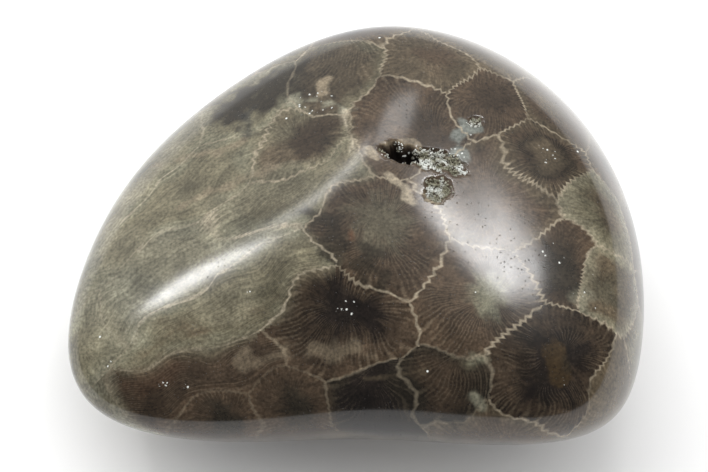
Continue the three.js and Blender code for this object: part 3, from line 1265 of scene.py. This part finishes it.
@dataclass(frozen=True)
class Druse:
    """Small pointed crystals grown over part of a surface, chosen by one of its layers.

    Density is a number to the square metre, and sizes are widths in millimetres. Length and tip are shares of
    the width, and lean is in radians.
    """

    name: str
    layer: str
    density: float
    smallest: float
    largest: float
    length: float
    tip: float = 0.12
    lean: float = 0.7
    sides: int = 6
    seed: int = 5

    def build(self, host: bpy.types.Object, material: bpy.types.Material) -> bpy.types.Object:
        """Grows the crystals and leaves them as a plain mesh.

        Args:
            host: The piece that they grow on.
            material: Their finish.

        Returns:
            The piece.
        """
        tree = self._tree(host, material)
        piece = add(self.name, bpy.data.meshes.new(self.name))
        modifier = piece.modifiers.new("grow", "NODES")
        modifier.node_group = tree
        given = {"Density": self.density, "Seed": self.seed}
        for item in tree.interface.items_tree:
            if item.in_out == "INPUT":
                modifier[item.identifier] = given[item.name]
        graph = bpy.context.evaluated_depsgraph_get()
        grown = bpy.data.meshes.new_from_object(piece.evaluated_get(graph), depsgraph=graph)
        piece.modifiers.remove(modifier)
        piece.data = grown
        grown.name = self.name
        return piece

    def _tree(self, host: bpy.types.Object, material: bpy.types.Material) -> bpy.types.NodeTree:
        """Writes the node tree that grows the crystals.

        Args:
            host: The piece that they grow on.
            material: Their finish.

        Returns:
            The tree, with its density and seed as inputs.
        """
        tree = bpy.data.node_groups.new(f"grow_{self.name}", "GeometryNodeTree")
        tree.interface.new_socket("Density", in_out="INPUT", socket_type="NodeSocketFloat")
        tree.interface.new_socket("Seed", in_out="INPUT", socket_type="NodeSocketInt")
        tree.interface.new_socket("Geometry", in_out="OUTPUT", socket_type="NodeSocketGeometry")
        write = NodeWriter(tree)
        given = write.node("NodeGroupInput").outputs
        source = write.node("GeometryNodeObjectInfo", {"Object": host})
        share = write.node("GeometryNodeInputNamedAttribute", {"Name": self.layer}, data_type="FLOAT")
        spread = write.node("GeometryNodeDistributePointsOnFaces", {
            "Mesh": source.outputs["Geometry"], "Density": write.times(share.outputs[0], given["Density"]),
            "Seed": given["Seed"]})
        crystal = write.node("GeometryNodeMeshCone", {
            "Vertices": self.sides, "Radius Top": self.tip, "Radius Bottom": 0.5, "Depth": self.length})
        size = write.node("FunctionNodeRandomValue", {
            2: self.smallest * METRES, 3: self.largest * METRES, "Seed": given["Seed"]}, data_type="FLOAT")
        lean = write.node("FunctionNodeRandomValue", {
            0: (-self.lean, -self.lean, -3.14), 1: (self.lean, self.lean, 3.14)}, data_type="FLOAT_VECTOR")
        turn = write.node("FunctionNodeEulerToRotation", {0: lean.outputs[0]})
        tilt = write.node("FunctionNodeRotateRotation", {0: spread.outputs["Rotation"], 1: turn.outputs[0]},
                          rotation_space="LOCAL")
        grown = write.node("GeometryNodeInstanceOnPoints", {
            "Points": spread.outputs["Points"], "Instance": crystal.outputs["Mesh"],
            "Rotation": tilt.outputs[0], "Scale": size.outputs[1]})
        real = write.node("GeometryNodeRealizeInstances", {0: grown.outputs[0]})
        finish = write.node("GeometryNodeSetMaterial", {"Geometry": real.outputs[0], "Material": material})
        write.node("NodeGroupOutput", {0: finish.outputs[0]})
        return tree


# The studio


def face(thing: bpy.types.Object, target: Vector, azimuth: float, elevation: float, distance: float,
         roll: float = 0.0) -> None:
    """Places a lamp or camera around a target and turns it to face the target.

    Args:
        thing: The lamp or camera.
        target: The point it faces.
        azimuth: Where it stands as seen from the target, in degrees from +X towards +Y.
        elevation: How high it stands as seen from the target, in degrees.
        distance: How far from the target it stands.
        roll: Its turn about its own line of sight, in degrees.
    """
    away = Vector(aim(azimuth, elevation))
    facing = (-away).to_track_quat("-Z", "Y").to_matrix().to_4x4()
    thing.location = target + away * distance
    thing.rotation_euler = (facing @ Matrix.Rotation(math.radians(roll), 4, "Z")).to_euler()


@dataclass(frozen=True)
class Softbox:
    """A rectangular lamp, aimed at the stone from an azimuth and elevation. Lengths are in metres."""

    name: str
    azimuth: float
    elevation: float
    distance: float
    width: float
    height: float
    power: float
    roll: float = 0.0

    def build(self, target: Vector) -> None:
        """Adds the lamp.

        Args:
            target: The point it faces.
        """
        lamp = bpy.data.lights.new(self.name, "AREA")
        lamp.shape = "RECTANGLE"
        lamp.size, lamp.size_y, lamp.energy = self.width, self.height, self.power
        face(add(self.name, lamp), target, self.azimuth, self.elevation, self.distance, self.roll)


@dataclass(frozen=True)
class Studio:
    """A white floor, a plain room that is darker on the camera's side, two overhead lights and the lamps.

    Lengths are in metres. The aim is a share of the stone's height and millimetres to the right.
    """

    floor_half: float = 2.0
    floor_white: float = 0.93
    floor_rough: float = 0.9
    room_dark: float = 0.15
    room_light: float = 0.76
    right_share: float = 0.3
    sky_azimuths: tuple[float, ...] = (-10.0, 145.0)
    sky_elevation: float = 52.0
    sky_strength: float = 1.9
    sky_angle: float = 80.0
    camera_azimuth: float = -90.0
    camera_elevation: float = 60.0
    camera_distance: float = 0.75
    field_width: float = 0.0918
    sensor: float = 36.0
    aim_height: float = 0.614
    aim_right: float = -0.35
    boxes: tuple[Softbox, ...] = (
        Softbox("right_box", 59.5, 55, 0.6, 0.075, 0.045, 0.17),
        Softbox("right_low_box", 67, 58, 0.6, 0.10, 0.04, 0.23, -14),
        Softbox("middle_box", 90, 48.5, 0.6, 0.10, 0.07, 0.10),
        Softbox("band_box", 119, 50.7, 0.6, 0.25, 0.028, 0.20),
        Softbox("left_box", 149, 51.5, 0.6, 0.08, 0.045, 0.28),
    )

    def build(self, form: StoneForm) -> None:
        """Builds the floor, the room, the lamps and the camera around the stone.

        Args:
            form: The form of the stone.
        """
        height = form.low[2] + self.aim_height * (form.high[2] - form.low[2])
        middle = Vector((form.middle[0] + self.aim_right, form.middle[1], height)) * METRES
        bpy.context.scene.view_settings.view_transform = "Standard"
        self._floor(form.low[2] * METRES)
        self._room()
        self._sky(middle)
        for box in self.boxes:
            box.build(middle)
        self._camera(middle)

    def _floor(self, height: float) -> None:
        """Adds the pale floor.

        Args:
            height: The level of the floor.
        """
        half = self.floor_half
        mesh = bpy.data.meshes.new("floor")
        corners = [(-half, -half, height), (half, -half, height), (half, half, height), (-half, half, height)]
        mesh.from_pydata(corners, [], [(0, 1, 2, 3)])
        material, _, shader = principled("pale_floor")
        shader.inputs["Base Color"].default_value = (self.floor_white,) * 3 + (1.0,)
        shader.inputs["Roughness"].default_value = self.floor_rough
        shader.inputs["Specular IOR Level"].default_value = 0.0
        mesh.materials.append(material)
        add("floor", mesh)

    def _room(self) -> None:
        """Lights the room from behind the stone, less at the right, and dimly from the camera's side."""
        world = bpy.data.worlds.new("room")
        world.use_nodes = True
        bpy.context.scene.world = world
        tree = NodeWriter(world.node_tree)
        way = tree.node("ShaderNodeTexCoord").outputs["Generated"]
        right, depth, _ = tree.node("ShaderNodeSeparateXYZ", {0: way}).outputs
        light = tree.blend(tree.step(right, 0.2, 0.8), self.room_light, self.room_light * self.right_share)
        strength = tree.blend(tree.step(depth, 0.05, 0.50), self.room_dark, light)
        background = world.node_tree.nodes["Background"]
        tree.feed(background.inputs["Strength"], strength)
        background.inputs["Color"].default_value = (1.0, 1.0, 1.0, 1.0)

    def _sky(self, middle: Vector) -> None:
        """Adds two broad soft lights overhead, which light the floor and don't mirror in the polish.

        Args:
            middle: The point they face.
        """
        for azimuth in self.sky_azimuths:
            lamp = bpy.data.lights.new("overhead", "SUN")
            lamp.energy = self.sky_strength
            lamp.angle = math.radians(self.sky_angle)
            holder = add("overhead", lamp)
            holder.visible_glossy = False
            face(holder, middle, azimuth, self.sky_elevation, 1.0)

    def _camera(self, middle: Vector) -> None:
        """Adds the camera, above the front of the stone.

        Args:
            middle: The point it faces.
        """
        lens = bpy.data.cameras.new("camera")
        lens.sensor_width = self.sensor
        lens.lens = self.sensor * self.camera_distance / self.field_width
        camera = add("camera", lens)
        face(camera, middle, self.camera_azimuth, self.camera_elevation, self.camera_distance)
        bpy.context.scene.camera = camera


def triangles(piece: bpy.types.Object) -> int:
    """Returns how many triangles a piece has."""
    return sum(len(face.vertices) - 2 for face in piece.data.polygons)


def main() -> None:
    """Builds the stone, its crystals and the studio, in that order, and reports each piece."""
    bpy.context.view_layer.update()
    cavity = Cavity()
    shape = StoneForm(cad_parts[CAD_NODE], cavity.pockets)
    colony = Colony(shape, CUPS)
    LOG.info("colony of %d cups, %d of them placed", len(colony.cups), len(CUPS))
    stone = PolishedStone(shape, cavity).build(Markings(colony), CoralPolish().build())
    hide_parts(CAD_NODE)
    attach(stone, "root")
    LOG.info("polished_stone: %d triangles", triangles(stone))

    crystals = Druse("cavity_crystals", "druse", 24.0e6, 0.14, 0.40, 0.9).build(
        stone, CrystalFinish("druse_calcite").build())
    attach(crystals, "root")
    LOG.info("cavity_crystals: %d triangles", triangles(crystals))

    Studio().build(shape)
    LOG.info("sizes written")


if __name__ == "__main__":
    logging.basicConfig(level=logging.INFO, format="%(name)s: %(message)s")
    main()
